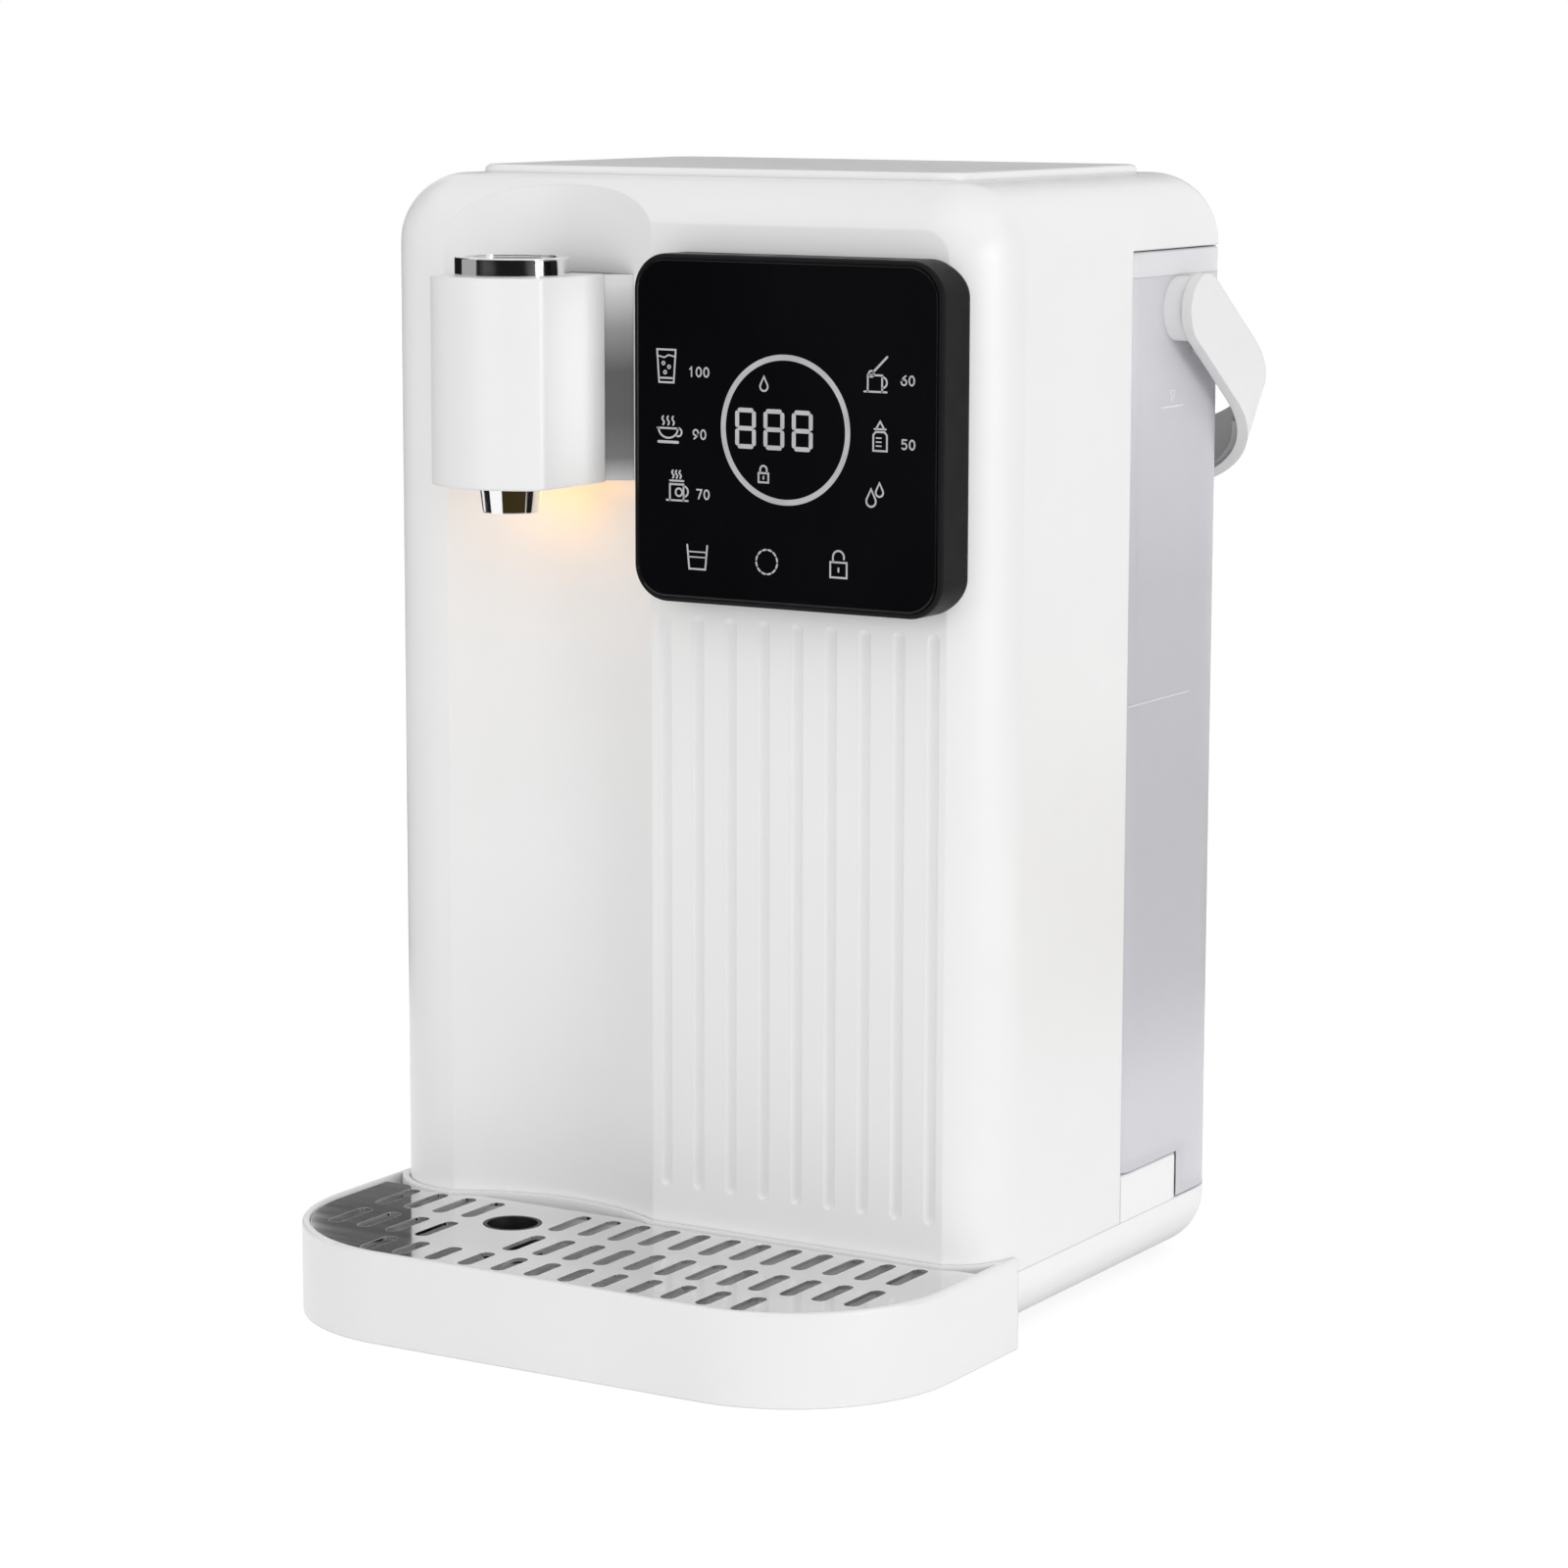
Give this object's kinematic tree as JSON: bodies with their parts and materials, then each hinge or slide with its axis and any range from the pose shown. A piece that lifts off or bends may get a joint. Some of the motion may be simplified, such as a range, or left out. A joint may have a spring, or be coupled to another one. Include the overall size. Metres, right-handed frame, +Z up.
{
  "type": "instant hot water dispenser",
  "caption": "Countertop instant hot water dispenser with a spout in a front niche, a square touch panel, a drip tray with a steel grille and a rear water tank with a carry handle",
  "frame": {"origin": "on the table, under the middle of the footprint from the tray's front to the handle's back", "axes": "+Z up, -Y towards the person in front of the touch panel, +X to that person's right"},
  "size_m": [0.2038, 0.242, 0.3004],
  "materials": {
    "white_shell": "satin white ABS",
    "white_tray": "satin white ABS, washable",
    "base_white": "satin white ABS",
    "inner_plastic": "moulded, unpainted",
    "dark_neck": "glossy dark grey",
    "panel_black": "glossy black with a dark grey edge",
    "panel_glass": "black-backed tempered glass with a printed display",
    "mask_black": "matt black",
    "display": "white digit display",
    "board_green": "solder-masked circuit board",
    "components": "relays, capacitors and heat sink, simplified",
    "rubber": "soft",
    "silicone": "translucent silicone hose",
    "drain_black": "black, soft",
    "grille_steel": "polished stainless sheet",
    "steel": "stainless",
    "chrome_trim": "bright chrome",
    "lens": "warm translucent light lens",
    "tank_plastic": "translucent smoky grey",
    "tank_lid": "translucent pale grey",
    "clear_boss": "clear",
    "handle_white": "satin white",
    "grip_pad": "dark grey soft strip",
    "valve_plastic": "white acetal",
    "screw_steel": "zinc-plated screws",
    "motor_steel": "plated motor can",
    "copper_cutout": "plain metal can"
  },
  "bodies": {
    "dispenser": {"housing_shell": "white_shell", "top_cover": "white_shell", "base_casing": "base_white", "cord_gland": "rubber", "rubber_feet": "rubber", "tank_cradle": "base_white", "rear_bulkhead": "inner_plastic", "bay_ceiling": "inner_plastic", "spout_cover": "white_shell", "spout_cap": "chrome_trim", "spout_neck": "dark_neck", "spout_bottom_plate": "white_shell", "outlet_nozzle": "chrome_trim", "outlet_screen": "steel", "night_light_lens": "lens", "night_light_board": "board_green", "panel_frame": "panel_black", "panel_glass": "panel_glass", "panel_light_mask": "mask_black", "digit_display": "display", "touch_board": "board_green", "tank_socket": "inner_plastic", "flow_sensor": "inner_plastic", "pump_body": "inner_plastic", "pump_motor": "motor_steel", "pump_grommets": "rubber", "heater_shell": "steel", "heater_end_caps": "steel", "heater_brackets": "screw_steel", "thermal_cutout": "copper_cutout", "supply_hose": "silicone", "feed_hose": "silicone", "pressure_hose": "silicone", "outlet_hose": "silicone", "power_board": "board_green", "board_components": "components", "board_spacers": "inner_plastic", "base_screws": "screw_steel", "cradle_screws": "screw_steel", "ceiling_screws": "screw_steel", "bulkhead_screws": "screw_steel", "panel_screws": "screw_steel", "spout_screws": "screw_steel", "board_screws": "screw_steel"},
    "drip_tray": {"drip_tray": "white_tray"},
    "drip_grille": {"drip_grille": "grille_steel", "drain_sleeve": "drain_black"},
    "water_tank": {"tank_shell": "tank_plastic", "tank_lid": "tank_lid", "handle_bosses": "clear_boss", "valve_body": "valve_plastic", "valve_seal": "rubber", "valve_spring": "steel", "intake_strainer": "valve_plastic"},
    "tank_handle": {"tank_handle": "handle_white", "handle_grip_pad": "grip_pad"},
    "valve_poppet": {"valve_poppet": "valve_plastic"}
  },
  "joints": [
    {"name": "tray_slide", "type": "slide", "parent": "dispenser", "child": "drip_tray", "axis": [0, -1, 0], "range_m": [0, 0.06]},
    {"name": "grille_lift", "type": "slide", "parent": "drip_tray", "child": "drip_grille", "axis": [0, 0, 1], "range_m": [0, 0.03]},
    {"name": "tank_slide", "type": "slide", "parent": "dispenser", "child": "water_tank", "axis": [0, 1, 0], "range_m": [0, 0.085]},
    {"name": "handle_swing", "type": "hinge", "parent": "water_tank", "child": "tank_handle", "pos_m": [0, 0.04913, 0.2632], "axis": [1, 0, 0], "range_deg": [0, 125]},
    {"name": "poppet_slide", "type": "slide", "parent": "water_tank", "child": "valve_poppet", "axis": [0, -1, 0], "range_m": [0, 0.0025], "stiffness_N_per_m": 150, "springref_m": -0.002, "deforming": ["valve_spring"]}
  ]
}
